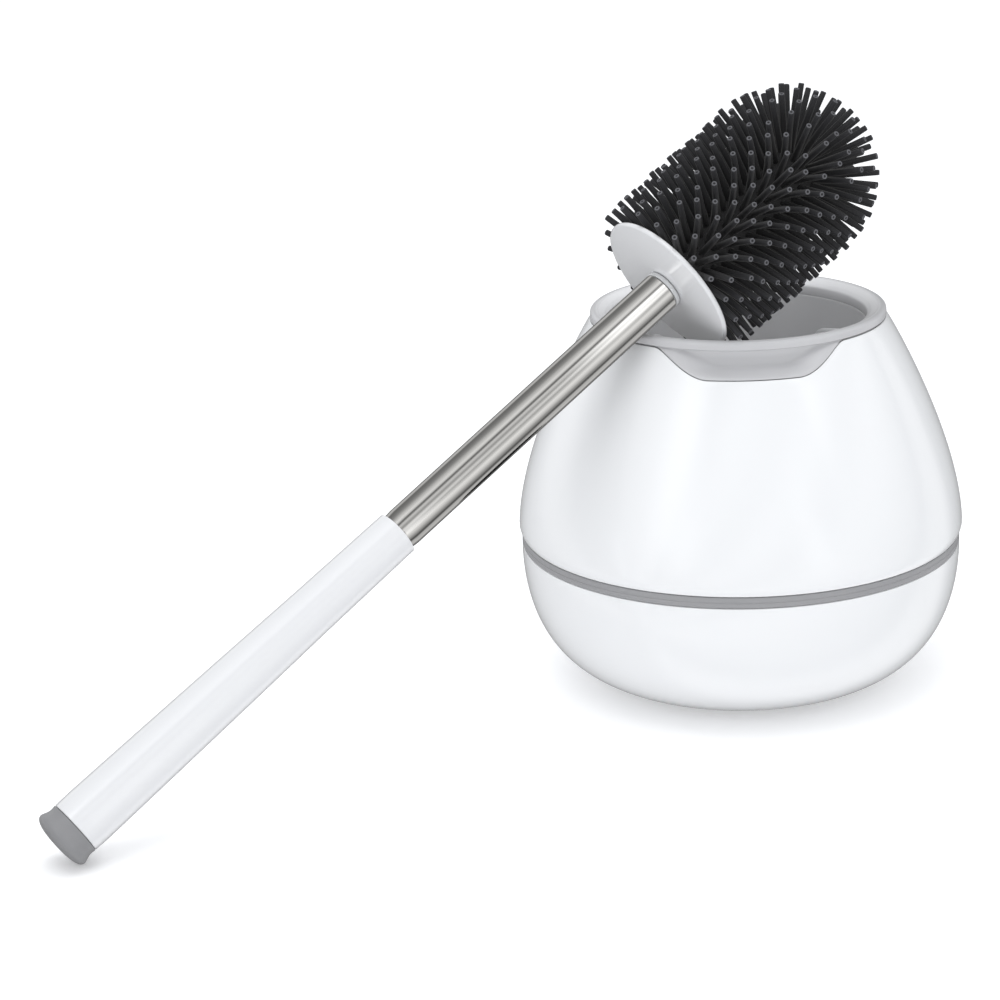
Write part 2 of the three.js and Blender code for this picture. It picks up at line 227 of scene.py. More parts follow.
class Nodes:
    """Small helper that adds and links nodes in one tree."""

    def __init__(self, tree):
        self.tree = tree

    def add(self, kind, inputs=None, **settings):
        node = self.tree.nodes.new(kind)
        for key, value in settings.items():
            setattr(node, key, value)
        for key, value in (inputs or {}).items():
            if isinstance(value, bpy.types.NodeSocket):
                self.tree.links.new(value, node.inputs[key])
            else:
                node.inputs[key].default_value = value
        return node

    def math(self, operation, a, b=0.0, clamp=False):
        return self.add("ShaderNodeMath", {0: a, 1: b}, operation=operation, use_clamp=clamp).outputs[0]

    def mix(self, factor, a, b):
        node = self.add("ShaderNodeMix", data_type="RGBA")
        for key, value in (("Factor", factor), ("A", a), ("B", b)):
            target = next(
                s for s in node.inputs if s.name == key and s.type in ("RGBA", "VALUE") and s.enabled)
            if isinstance(value, bpy.types.NodeSocket):
                self.tree.links.new(value, target)
            else:
                target.default_value = value
        return next(s for s in node.outputs if s.enabled)

    def ramp(self, factor, low, high, start=0.0, end=1.0):
        """Goes from start to end as the factor goes from low to high, and stays there."""
        node = self.add("ShaderNodeMapRange", {0: factor, 1: low, 2: high, 3: start, 4: end})
        return node.outputs[0]

    def flip(self, factor, clamp=False):
        """One minus the factor."""
        return self.math("SUBTRACT", 1.0, factor, clamp)

    def feed(self, node, name, value):
        """Links a value to a named input of a node."""
        self.tree.links.new(value, node.inputs[name])

    def relief(self, shader, height, strength, distance):
        """Bump on a shader's normal, from a height."""
        node = self.add("ShaderNodeBump", {"Strength": strength, "Distance": distance, "Height": height})
        self.feed(shader, "Normal", node.outputs[0])


def surface_group():
    """Moulded surface: fine grain and slow waviness as a height, with mottling and scuff masks."""
    tree = bpy.data.node_groups.new("Moulded surface", "ShaderNodeTree")
    take(tree, "Vector", "Vector")
    take(tree, "Grain scale", "Float", 1500.0)
    take(tree, "Grain amount", "Float", 0.5)
    take(tree, "Wave scale", "Float", 40.0)
    take(tree, "Wave amount", "Float", 1.0)
    give(tree, "Height", "Float")
    give(tree, "Mottle", "Float")
    give(tree, "Scuff", "Float")
    n = Nodes(tree)
    given = n.add("NodeGroupInput").outputs
    vector = given["Vector"]
    grain = n.add("ShaderNodeTexNoise", {"Vector": vector, "Scale": given["Grain scale"], "Detail": 3.0})
    wave = n.add("ShaderNodeTexNoise", {"Vector": vector, "Scale": given["Wave scale"], "Detail": 1.0})
    mottle = n.add("ShaderNodeTexNoise", {"Vector": vector, "Scale": 14.0, "Detail": 4.0, "Roughness": 0.6})
    turned_way = n.add("ShaderNodeMapping", {
        "Vector": vector, "Rotation": (0.6, 0.3, 0.9), "Scale": (30, 260, 160)})
    scratch = n.add("ShaderNodeTexNoise", {"Vector": turned_way.outputs[0], "Scale": 1.0, "Detail": 5.0})
    patches = n.add("ShaderNodeTexNoise", {"Vector": vector, "Scale": 22.0, "Detail": 2.0})
    grains = n.math("MULTIPLY", grain.outputs[0], given["Grain amount"])
    height = n.math("ADD", grains, n.math("MULTIPLY", wave.outputs[0], given["Wave amount"]))
    in_patches = n.ramp(patches.outputs[0], 0.45, 0.75)
    scuff = n.math("MULTIPLY", n.ramp(scratch.outputs[0], 0.55, 0.85), in_patches)
    out = n.add("NodeGroupOutput")
    for name, value in (("Height", height), ("Mottle", mottle.outputs[0]), ("Scuff", scuff)):
        n.feed(out, name, value)
    return tree


def brushed_group():
    """Lengthwise drawn lines around a tube whose axis is Z in the given vector."""
    tree = bpy.data.node_groups.new("Drawn tube lines", "ShaderNodeTree")
    take(tree, "Vector", "Vector")
    give(tree, "Lines", "Float")
    give(tree, "Bands", "Float")
    n = Nodes(tree)
    vector = n.add("NodeGroupInput").outputs["Vector"]
    fine = n.add("ShaderNodeMapping", {"Vector": vector, "Scale": (1600, 1600, 6)})
    lines = n.add("ShaderNodeTexNoise", {"Vector": fine.outputs[0], "Scale": 1.0, "Detail": 3.0})
    wide = n.add("ShaderNodeMapping", {"Vector": vector, "Scale": (330, 330, 1.5)})
    bands = n.add("ShaderNodeTexNoise", {"Vector": wide.outputs[0], "Scale": 1.0, "Detail": 2.0})
    out = n.add("NodeGroupOutput")
    n.feed(out, "Lines", lines.outputs[0])
    n.feed(out, "Bands", bands.outputs[0])
    return tree


SURFACE = surface_group()
DRAWN = brushed_group()


def new_material(name):
    """Node material, with its node helper and its shader."""
    material = bpy.data.materials.new(name)
    material.use_nodes = True
    nodes = Nodes(material.node_tree)
    shader = material.node_tree.nodes["Principled BSDF"]
    return material, nodes, shader


def brush_vector(n):
    """Object coordinates turned so that Z runs along the brush."""
    coordinates = n.add("ShaderNodeTexCoord").outputs["Object"]
    turn = BRUSH_TURN.to_euler()
    return n.add("ShaderNodeMapping", {
        "Vector": coordinates, "Location": BRUSH_AT, "Rotation": turn}, vector_type="TEXTURE").outputs[0]


def moulded(name, colour, roughness, grain_scale, grain, bump, spread=0.03, coat=0.0, wave=1.0,
            wear=0.06, on_the_brush=False):
    """Moulded plastic or rubber with grain, slow waviness, mottling and light scuffs. Spread is how far
    the colour varies, coat is a clear gloss over it, and wear is how much rougher the scuffs are."""
    material, n, shader = new_material(name)
    vector = brush_vector(n) if on_the_brush else n.add("ShaderNodeTexCoord").outputs["Object"]
    surface = n.add("ShaderNodeGroup", node_tree=SURFACE)
    for key, value in (("Grain scale", grain_scale), ("Grain amount", grain), ("Wave amount", wave)):
        surface.inputs[key].default_value = value
    n.feed(surface, "Vector", vector)
    darker = tuple(c * (1 - spread) for c in colour) + (1,)
    lighter = tuple(min(c * (1 + spread), 1) for c in colour) + (1,)
    n.feed(shader, "Base Color", n.mix(surface.outputs["Mottle"], darker, lighter))
    rough = n.ramp(surface.outputs["Mottle"], 0.1, 0.9, roughness * 0.85, roughness * 1.15)
    worn = n.math("ADD", rough, n.math("MULTIPLY", surface.outputs["Scuff"], wear), clamp=True)
    n.feed(shader, "Roughness", worn)
    n.relief(shader, surface.outputs["Height"], bump, 0.0001)
    shader.inputs["Coat Weight"].default_value = coat
    shader.inputs["Coat Roughness"].default_value = 0.08
    return material


def collar_grey(name):
    """Satin grey of the collar, with a painted highlight that makes its sloping top paler than its front."""
    material = moulded(name, (0.57, 0.57, 0.583), 0.24, 2600.0, 0.9, 0.22, spread=0.03, wear=0.01)
    n = Nodes(material.node_tree)
    shader = material.node_tree.nodes["Principled BSDF"]
    at = n.add("ShaderNodeSeparateXYZ", {0: n.add("ShaderNodeTexCoord").outputs["Object"]}).outputs
    radius = n.math("SQRT", n.math("ADD", n.math("POWER", at[0], 2.0), n.math("POWER", at[1], 2.0)))
    # Painted highlight: the sloping top, inside the outer edge and above the lip, gets a paler grey where
    # light from above falls.
    inward = n.flip(n.ramp(radius, (COLLAR_R - 3.4) * MM, (COLLAR_R - 1.8) * MM))
    above = n.ramp(at[2], (LIP_LOW - 0.3) * MM, (MOUTH_TOP - 1.0) * MM)
    plain = shader.inputs["Base Color"].links[0].from_socket
    painted_top_highlight = n.mix(n.math("MULTIPLY", inward, above), plain, (0.90, 0.90, 0.915, 1))
    n.feed(shader, "Base Color", painted_top_highlight)
    return material


def steel(name):
    """Polished stainless tube with fine lengthwise lines."""
    material, n, shader = new_material(name)
    drawn = n.add("ShaderNodeGroup", node_tree=DRAWN)
    n.feed(drawn, "Vector", brush_vector(n))
    bands = n.ramp(drawn.outputs["Bands"], 0.35, 0.65)
    n.feed(shader, "Base Color", n.mix(bands, (0.60, 0.597, 0.588, 1), (0.755, 0.75, 0.738, 1)))
    shader.inputs["Metallic"].default_value = 1.0
    n.feed(shader, "Roughness", n.ramp(drawn.outputs["Lines"], 0.3, 0.7, 0.07, 0.16))
    n.relief(shader, drawn.outputs["Lines"], 0.08, 0.00005)
    return material


def silicone(name):
    """Charcoal silicone of the bristles, with painted shade that darkens them towards their roots and a
    painted highlight that makes their blunt ends paler.
    """
    material, n, shader = new_material(name)
    surface = n.add("ShaderNodeGroup", node_tree=SURFACE)
    surface.inputs["Grain scale"].default_value = 2200.0
    n.feed(surface, "Vector", brush_vector(n))
    tip = n.add("ShaderNodeAttribute", attribute_name="tip").outputs["Fac"]
    along = n.add("ShaderNodeAttribute", attribute_name="along").outputs["Fac"]
    # Painted shade: each shaft goes from near black at its root, deep in the head, to a lighter charcoal
    # near its end.
    shaft_painted_shade = n.mix(n.math("POWER", along, 2.0), (0.012, 0.012, 0.013, 1), (0.032, 0.032, 0.035, 1))
    mottled = n.mix(n.math("MULTIPLY", surface.outputs["Mottle"], 0.2), shaft_painted_shade, (0.036, 0.036, 0.039, 1))
    # Painted highlight: the blunt ends, where the tip attribute is 1, get a much paler grey.
    n.feed(shader, "Base Color", n.mix(tip, mottled, (0.120, 0.120, 0.130, 1)))
    n.feed(shader, "Roughness", n.ramp(surface.outputs["Mottle"], 0.3, 0.7, 0.36, 0.5))
    n.relief(shader, surface.outputs["Height"], 0.15, 0.00008)
    shader.inputs["Specular IOR Level"].default_value = 0.2
    return material


def clear_seal(name):
    """Translucent silicone washer."""
    material = moulded(name, (0.93, 0.94, 0.95), 0.24, 900.0, 0.3, 0.1, wear=0.01, on_the_brush=True)
    shader = material.node_tree.nodes["Principled BSDF"]
    shader.inputs["Transmission Weight"].default_value = 0.25
    shader.inputs["IOR"].default_value = 1.41
    return material


WHITE_SHELL = moulded(
    "White gloss shell", (0.875, 0.883, 0.895), 0.16, 700.0, 0.15, 0.05, spread=0.01, coat=0.4, wave=0.4,
    wear=0.0)
WHITE_GRIP = moulded(
    "White satin plastic", (0.795, 0.80, 0.815), 0.24, 900.0, 0.25, 0.05, spread=0.01, coat=1.0, wave=0.0,
    wear=0.0, on_the_brush=True)
COLLAR_GREY_PAINTED_TOP = collar_grey("Grey satin collar with painted top highlight")
RING_GREY = moulded("Grey accent ring", (0.33, 0.33, 0.34), 0.4, 2600.0, 0.9, 0.3, spread=0.05)
CAP_GREY = moulded(
    "Grey cap plastic", (0.26, 0.26, 0.268), 0.38, 2400.0, 0.9, 0.3, spread=0.05, on_the_brush=True)
# The cup's grey is partly its own and partly painted light: it is set paler than the collar's grey to lift
# the shade inside the cup.
CUP_GREY = moulded("Grey drip cup", (0.67, 0.67, 0.68), 0.4, 1800.0, 0.9, 0.3, spread=0.04)
# Painted light: the fins are moulded from the cup's grey, but are given a far paler grey so that they read
# as lit inside the shaded cup.
FIN_GREY_PAINTED_PALE = moulded("Grey cup fins painted paler", (0.90, 0.90, 0.91), 0.32, 1800.0, 0.9, 0.2, spread=0.03)
PAD_RUBBER = moulded("Pad rubber", (0.03, 0.03, 0.032), 0.75, 1400.0, 1.2, 0.6, spread=0.1)
SCREW_STEEL = moulded("Screw steel", (0.5, 0.5, 0.51), 0.35, 1500.0, 0.6, 0.2, spread=0.08)
SCREW_STEEL.node_tree.nodes["Principled BSDF"].inputs["Metallic"].default_value = 1.0
TUBE_STEEL = steel("Polished steel tube")
BRISTLE_SILICONE = silicone("Charcoal silicone")
CLEAR_SEAL = clear_seal("Clear seal")


def finish_piece(obj, material, body, slot, *nodes):
    """Gives a piece its material and its CAD body, and hides the CAD nodes that it stands for; its slot is
    not used.
    """
    obj.data.materials.clear()
    obj.data.materials.append(material)
    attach(obj, body)
    if nodes:
        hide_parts(*nodes)
    return obj


def dress(node, material):
    """New material for a CAD node that stays as it is."""
    obj = frame["nodes"][node]
    obj.data.materials.clear()
    obj.data.materials.append(material)


# ------------------------------------------------------------------ pot

POT_SIDES = 360
SHELL_LINE = bezier([[POT_R, SHELL_LOW], [POT_R + 0.3, 89], [57, 138], [SHELL_TOP_R, SHELL_TOP]], 400)
BOWL_LINE = bezier([[FOOT_R, BOWL_LOW], [54, BOWL_LOW], [BOWL_R, 8.4], [BOWL_R, BOWL_TOP]], 48)


def ease(t):
    """Smooth step from 0 to 1."""
    t = np.clip(t, 0, 1)
    return t * t * (3 - 2 * t)


def from_notch(direction):
    """Degrees from the middle of the nearer finger notch, which are at the front and the back."""
    return np.abs((np.asarray(direction) % 180) - 90)


def notch_share(away):
    """0 outside a finger notch, 1 along its floor, easing down its sloping ends."""
    return ease((NOTCH_TOP_ANGLE - away) / (NOTCH_TOP_ANGLE - NOTCH_FLOOR_ANGLE)) ** 0.8


NOTCH_ANGLES = np.linspace(NOTCH_TOP_ANGLE, NOTCH_FLOOR_ANGLE, 200)
NOTCH_EDGE = SHELL_TOP - NOTCH_DEPTH * notch_share(NOTCH_ANGLES)


def notch_half_angle(height):
    """Half width of a finger notch at a height, in degrees."""
    return np.interp(-np.asarray(height, float), -NOTCH_EDGE, NOTCH_ANGLES)


def shell_radius(height):
    """Outer radius of the upper shell at a height."""
    return np.interp(height, SHELL_LINE[:, 1], SHELL_LINE[:, 0])


def shell_lip(outer, inner):
    """Rounded lip from the last point of the shell's outer line to that of its inner line."""
    inward = (inner[-1] - outer[-1]) / WALL
    onward = np.array([inward[1], -inward[0]])
    bend = np.radians(np.linspace(0, 90, 5))[1:, None]
    outer_edge = outer[-1] + (inward * (1 - np.cos(bend)) + onward * np.sin(bend)) * LIP_EDGE
    inner_edge = inner[-1] + (-inward * (1 - np.cos(bend)) + onward * np.sin(bend)) * LIP_EDGE
    return np.concatenate([outer_edge, inner_edge[::-1]])


def upper_shell():
    """Upper shell: its bottom edge turns in, and its top edge dips at the two finger notches."""
    turn_in = np.array([(1.6, 0.0), (1.05, 0.12), (0.75, 0.5), (0.42, 1.3), (0.14, 2.4)])  # depth, height
    edge = np.stack([POT_R - turn_in[:, 0], SHELL_LOW + turn_in[:, 1]], 1)
    edge_foot = [(POT_R - WALL - 0.2, SHELL_LOW)]
    low = SHELL_LOW + 3.8  # the wall starts above the turned-in edge
    directions = np.arange(POT_SIDES) * 360 / POT_SIDES
    columns = []
    for direction in directions:
        top = SHELL_TOP - NOTCH_DEPTH * notch_share(from_notch(direction))
        heights = low + (top - LIP_EDGE - low) * np.linspace(0, 1, 36)
        outer = np.stack([shell_radius(heights), heights], 1)
        inner = inset(outer, WALL)
        columns.append(np.concatenate([edge_foot, edge, outer, shell_lip(outer, inner), inner[::-1]]))
    grid = np.array(columns).transpose(1, 0, 2)
    return ring_solid("Upper_shell", grid[..., 0], np.tile(directions, (len(grid), 1)), grid[..., 1])


def lower_bowl():
    """Lower shell with a recess for the pad and a softened top edge."""
    recess = PAD_TOP + AIR
    recess_r = PAD_R + AIR
    underside = [(0, recess), (recess_r, recess), (recess_r, BOWL_LOW + AIR), (PAD_R + 2 * AIR, BOWL_LOW)]
    edge = [(BOWL_R - 0.12, BOWL_TOP - 0.15), (BOWL_R - 0.45, BOWL_TOP)]
    inner = inset(BOWL_LINE, WALL)[2:]
    floor_line = [(PAD_R, recess + WALL), (0, recess + WALL)]
    outline = np.concatenate([underside, BOWL_LINE[:-1], edge, inner[::-1], floor_line])
    return turned("Lower_bowl", outline, POT_SIDES)


def accent_ring():
    """Grey ring with a shallow groove around the middle of its face and a hidden lip up and down."""
    low, high = BOWL_TOP + 0.25, SHELL_LOW - 0.25
    middle = (low + high) / 2
    face = POT_R - 1.0
    groove = 0.15
    lip = 3.0
    inside = BOWL_R - 4.8
    low_lip_r, high_lip_r = BOWL_R - 2.7, POT_R - 2.8
    corners = [
        (inside, low - lip, 0.3), (low_lip_r, low - lip, 0.3), (low_lip_r, low, 0),
        (face, low, 0.35), (face, middle - 2 * groove, 0.1), (face - groove, middle - groove, 0.08),
        (face - groove, middle + groove, 0.08), (face, middle + 2 * groove, 0.1), (face, high, 0.35),
        (high_lip_r, high, 0), (high_lip_r, high + lip, 0.3), (inside, high + lip, 0.3),
    ]
    return turned("Accent_ring", rounded(corners, 4), POT_SIDES)


def collar_section(inside, edge_share):
    """Section of the collar, as [radius, height] rows. inside is True across a finger notch, where the
    front is scooped; edge_share is 0 in the notch's middle and 1 at its edge."""
    floor_z = NOTCH_FLOOR + FINE_GAP
    side_reach, floor_reach = 12.0, 3.4  # how far the scoop's rounded edges reach, in degrees and in mm
    rise = np.linspace(0, 1, 20) ** 1.6
    heights = floor_z + (SHELL_TOP - 1.0 - floor_z) * rise
    if inside:
        away = notch_half_angle(heights) * (1 - edge_share)
        side = ease(1 - away / side_reach)
        bottom = ease(1 - (heights - floor_z) / floor_reach)
        flare = 1 - (1 - side) * (1 - bottom)
        front = SKIRT_R + flare * np.maximum(shell_radius(heights) - LIP_EDGE - SKIRT_R, 0)
        shoulder_z = SHELL_TOP - 0.9 + 0.9 * (1 - side[-1])
    else:
        front = np.full(len(heights), SKIRT_R)
        shoulder_z = SHELL_TOP + 0.1
    foot = floor_z - 0.1
    outer = [(SKIRT_R, SKIRT_LOW), (SKIRT_R, foot - 0.05), (front[0], foot)]
    outer += list(zip(front, heights))
    neck = SHELL_TOP + 0.22
    under_rim = (COLLAR_R - 0.25, neck + 0.05)
    cove = bezier([outer[-1], (front[-1], shoulder_z), (COLLAR_R - 1.4, neck), under_rim], 6)[1:]
    top = rounded([
        (*under_rim, 0), (COLLAR_R, neck + 0.3, 0.2), (COLLAR_R - 0.1, RIM_TOP - 0.2, 1.7),
        (52.4, RIM_TOP, 1.6), (49.4, MOUTH_TOP + 0.8, 4.0), (MOUTH_R, MOUTH_TOP - 0.4, 1.3),
        (MOUTH_R, LIP_LOW, 0.2), (SKIRT_IN_R, LIP_LOW, 0.2), (SKIRT_IN_R, SKIRT_LOW, 0),
    ], 6, closed=False)[1:]
    return np.concatenate([outer, cove, top])


def around(quarter, turned_back=None):
    """A quarter's columns, mirrored and repeated all around; turned_back gives their mirrored values."""
    back = quarter if turned_back is None else turned_back
    return np.concatenate([quarter, back[:, -2:0:-1]], 1)


def collar_ring():
    """Collar with a scooped front that fills each finger notch, up to a fine gap at its edge."""
    inner_gap, outer_gap = 0.15, 0.25  # degrees on either side of the notch's edge
    shares = [(True, s) for s in 1 - (1 - np.linspace(0, 1, 30)) ** 1.3]
    shares += [(False, s) for s in np.linspace(0, 1, 44)]
    quarter_r, quarter_z, quarter_away = [], [], []
    for inside, share in shares:
        section = collar_section(inside, share)
        edge = notch_half_angle(np.clip(section[:, 1], NOTCH_FLOOR, SHELL_TOP)) - inner_gap
        past = edge + outer_gap
        away = edge * share if inside else past + (90 - past) * share
        quarter_r.append(section[:, 0])
        quarter_z.append(section[:, 1])
        quarter_away.append(away)
    radii, heights, aways = [np.array(part).T for part in (quarter_r, quarter_z, quarter_away)]
    half_turn = around(aways, 180 - aways)
    angles = np.concatenate([half_turn, half_turn + 180], 1)
    radii = np.concatenate([around(radii)] * 2, 1)
    heights = np.concatenate([around(heights)] * 2, 1)
    return ring_solid("Collar_ring", radii, angles + 90, heights, sharp=50.0)


def drip_cup():
    """Tapered cup with a thick rim and a rounded floor."""
    rim = SKIRT_IN_R - 0.4
    floor_z = CUP_LOW + CUP_FLOOR
    corners = [
        (0, CUP_LOW, 0), (CUP_OUT_R[0], CUP_LOW, 4.0), (CUP_OUT_R[1], CUP_TOP - 5, 1.0),
        (rim, CUP_TOP - 4, 0.5), (rim, CUP_TOP, 0.5), (CUP_BORE_R[1], CUP_TOP, 0.5),
        (CUP_BORE_R[0], floor_z, 3.2), (0, floor_z, 0),
    ]
    return turned("Drip_cup", rounded(corners, 8, closed=False), 192)


def cup_fins():
    """Centring fins moulded into the cup, with a round top corner and softened edges."""
    foot = CUP_LOW + 1.2
    low_r, top_r = FIN_WALL_R
    corners = [(FIN_EDGE_R, foot, 0), (low_r, foot, 0), (top_r, FIN_TOP, 0), (FIN_EDGE_R, FIN_TOP, 4.0)]
    edge = rounded(corners, 8)
    middle = edge.mean(0)
    chamfer, chamfer_depth = 0.5, 0.4
    small = middle + (edge - middle) * (1 - chamfer / np.linalg.norm(edge - middle, axis=1))[:, None]
    full = FIN_HALF - chamfer_depth
    layers = [(small, -FIN_HALF), (edge, -full), (edge, full), (small, FIN_HALF)]
    count = len(edge)
    vertices, faces = [], []
    for direction in FIN_DIRECTIONS:
        start = len(vertices)
        angle = math.radians(direction)
        for outline, side in layers:
            for r, z in outline:
                vertices.append((r * math.cos(angle) - side * math.sin(angle),
                                 r * math.sin(angle) + side * math.cos(angle), z))
        faces += [tuple(start + v for v in face) for face in grid_faces(len(layers), count, False)]
        faces.append(tuple(start + i for i in range(count))[::-1])
        faces.append(tuple(start + (len(layers) - 1) * count + i for i in range(count)))
    return make_object("Cup_fins", vertices, faces)


# ------------------------------------------------------------------ brush

STUD_HOLE_R = 4.2  # in the washer and the disc


def along_brush(name, outline, sides=96, sharp=35.0):
    """Turned solid around the brush's axis."""
    return turned(name, outline, sides, BRUSH_PLACE, sharp)


def end_cap():
    """Cap with hollowed sides, a soft rim and a domed end."""
    start, end, radius = on_brush("end_cap")
    joint = on_brush("grip")[0] - FINE_GAP
    joint_r, spigot_r = 10.05, 7.45
    rim = start + 2.9
    dome = bezier([(0, start), (radius * 0.62, start), (radius - 0.3, rim - 2.1), (radius, rim)], 14)
    flank = bezier([(radius, rim), (radius, rim + 1.5), (9.3, joint - 2.8), (joint_r, joint)], 14)[1:]
    inside = [(joint_r - 0.45, joint + 0.02), (spigot_r, joint + 0.02), (spigot_r, end), (0, end)]
    return along_brush("End_cap", np.concatenate([dome, flank, inside]), 96, 50.0)


def grip():
    """Tapered sleeve with a fine radius at both ends."""
    start, end, _ = on_brush("grip")
    bore_r, thin_r = 7.65, 8.3
    corners = [
        (bore_r, start, 0), (9.95, start, 0.5), (10.1, start + 6, 0), (9.95, start + 20, 0),
        (9.25, start + 72, 0), (8.65, end - 40, 0), (thin_r, end - 2, 0), (thin_r, end, 0.5),
        (bore_r, end, 0.15)]
    return along_brush("Grip", rounded(corners, 6), 128)


def steel_tube():
    """Thin tube, drawn in slightly where it enters the grip."""
    start, end, radius = on_brush("steel_tube")
    grip_end = on_brush("grip")[1]
    bore_r, waist_r = radius - 0.6, radius - 0.22
    corners = [
        (bore_r, start, 0), (radius, start, 0), (radius, grip_end - 4, 0), (waist_r, grip_end, 0),
        (waist_r, grip_end + 0.7, 0), (radius, grip_end + 3.2, 0), (radius, end, 0.25),
        (bore_r, end, 0.15)]
    return along_brush("Steel_tube", rounded(corners, 4), 128)


def seal_washer():
    """Soft washer, squeezed out a little past its size in the frame."""
    start, end, radius = on_brush("seal_washer")
    radius += 0.15
    corners = [(STUD_HOLE_R, start, 0.2), (radius, start, 0.4), (radius, end, 0.4), (STUD_HOLE_R, end, 0.2)]
    return along_brush("Seal_washer", rounded(corners, 5))


def splash_disc():
    """Thin disc, slightly dished, with a soft edge."""
    start, end, radius = on_brush("splash_disc")
    flat_r, edge = 12.0, 0.9
    corners = [
        (STUD_HOLE_R, start, 0), (flat_r, start, 0), (radius, start + 0.25, edge), (radius, end - 0.1, edge),
        (flat_r, end, 0), (STUD_HOLE_R, end, 0)]
    return along_brush("Splash_disc", rounded(corners, 6), 160)


# ------------------------------------------------------------------ bristles

BRISTLE_RINGS = 13  # around the straight part of the head
BRISTLES_PER_RING = 22
CROWN_LATITUDES = (9, 20, 31.5, 43, 55, 68)  # degrees towards the tip of the head
CROWN_SPACING = 8.8  # between bristle ends on the crown, mm
TIP_BRISTLES = 4  # at the very tip of the head
TIP_SPREAD = 0.16  # how far they lean apart
BACK_LEAN = 0.20  # how far the first ring leans back over the disc
FIRST_RING = 1.4  # above the start of the head
BRISTLE_SEED = 7
CORE_R = 11.6  # bristles start here, just inside the base
BASE_R = 12.2  # skin over the core
BASE_BORE_R = 11.25
ROD_LENGTH = 22.6
ROD_ROOT = 1.2  # sunk below its root point
ROD_BASE_R = 1.36
ROD_TIP_R = 1.06


def bristle_rod():
    """One blunt silicone rod with a dimpled end, standing on its root point. Its along attribute goes
    from 0 to 1 up the rod, and tip is 1 on its end."""
    length, base, tip = ROD_LENGTH, ROD_BASE_R, ROD_TIP_R
    outline = [
        (0, -ROD_ROOT), (base, -ROD_ROOT), ((base + tip) / 2, length * 0.6), (tip, length - 0.35),
        (tip - 0.1, length - 0.06), (tip - 0.32, length), (tip * 0.5, length - 0.06),
        (tip * 0.42, length - 0.3), (0, length - 0.4)]
    rod = turned("Bristle_rod", outline, 8, sharp=60.0)
    heights = np.array([v.co.z for v in rod.data.vertices]) / MM
    radii = np.array([math.hypot(v.co.x, v.co.y) for v in rod.data.vertices]) / MM
    along = rod.data.attributes.new("along", "FLOAT", "POINT")
    along.data.foreach_set("value", np.clip(heights / length, 0, 1).astype(np.float32))
    ends = rod.data.attributes.new("tip", "FLOAT", "POINT")
    on_end = (heights > length - 0.1) & (radii > 0.1)
    ends.data.foreach_set("value", on_end.astype(np.float32))
    return rod


def bristle_roots():
    """Root point and direction of every bristle, in the brush's own frame, in mm."""
    start, end, radius = on_brush("bristle_sleeve")
    centre = end - radius
    roots, directions = [], []
    spacing = (centre - start - FIRST_RING) / BRISTLE_RINGS
    for ring in range(BRISTLE_RINGS):
        height = start + FIRST_RING + spacing * (ring + 0.3)
        back = BACK_LEAN * max(0.0, 1 - ring / 2.0)
        for k in range(BRISTLES_PER_RING):
            angle = 2 * math.pi * (k + 0.5 * (ring % 2)) / BRISTLES_PER_RING
            outward = Vector((math.cos(angle), math.sin(angle), 0))
            roots.append(outward * CORE_R + Vector((0, 0, height + back * 9)))
            directions.append((outward - Vector((0, 0, back))).normalized())
    for row, latitude in enumerate(CROWN_LATITUDES):
        rise = math.radians(latitude)
        level = math.cos(rise)
        count = round(2 * math.pi * radius * level / CROWN_SPACING)
        for k in range(count):
            angle = 2 * math.pi * (k + 0.5 * (row % 2)) / count
            way = Vector((math.cos(angle) * level, math.sin(angle) * level, math.sin(rise)))
            roots.append(way * CORE_R + Vector((0, 0, centre)))
            directions.append(way)
    for k in range(TIP_BRISTLES):
        angle = math.radians(360 / TIP_BRISTLES * k + 20)
        way = Vector((math.cos(angle) * TIP_SPREAD, math.sin(angle) * TIP_SPREAD, 1)).normalized()
        roots.append(way * CORE_R + Vector((0, 0, centre)))
        directions.append(way)
    return roots, directions


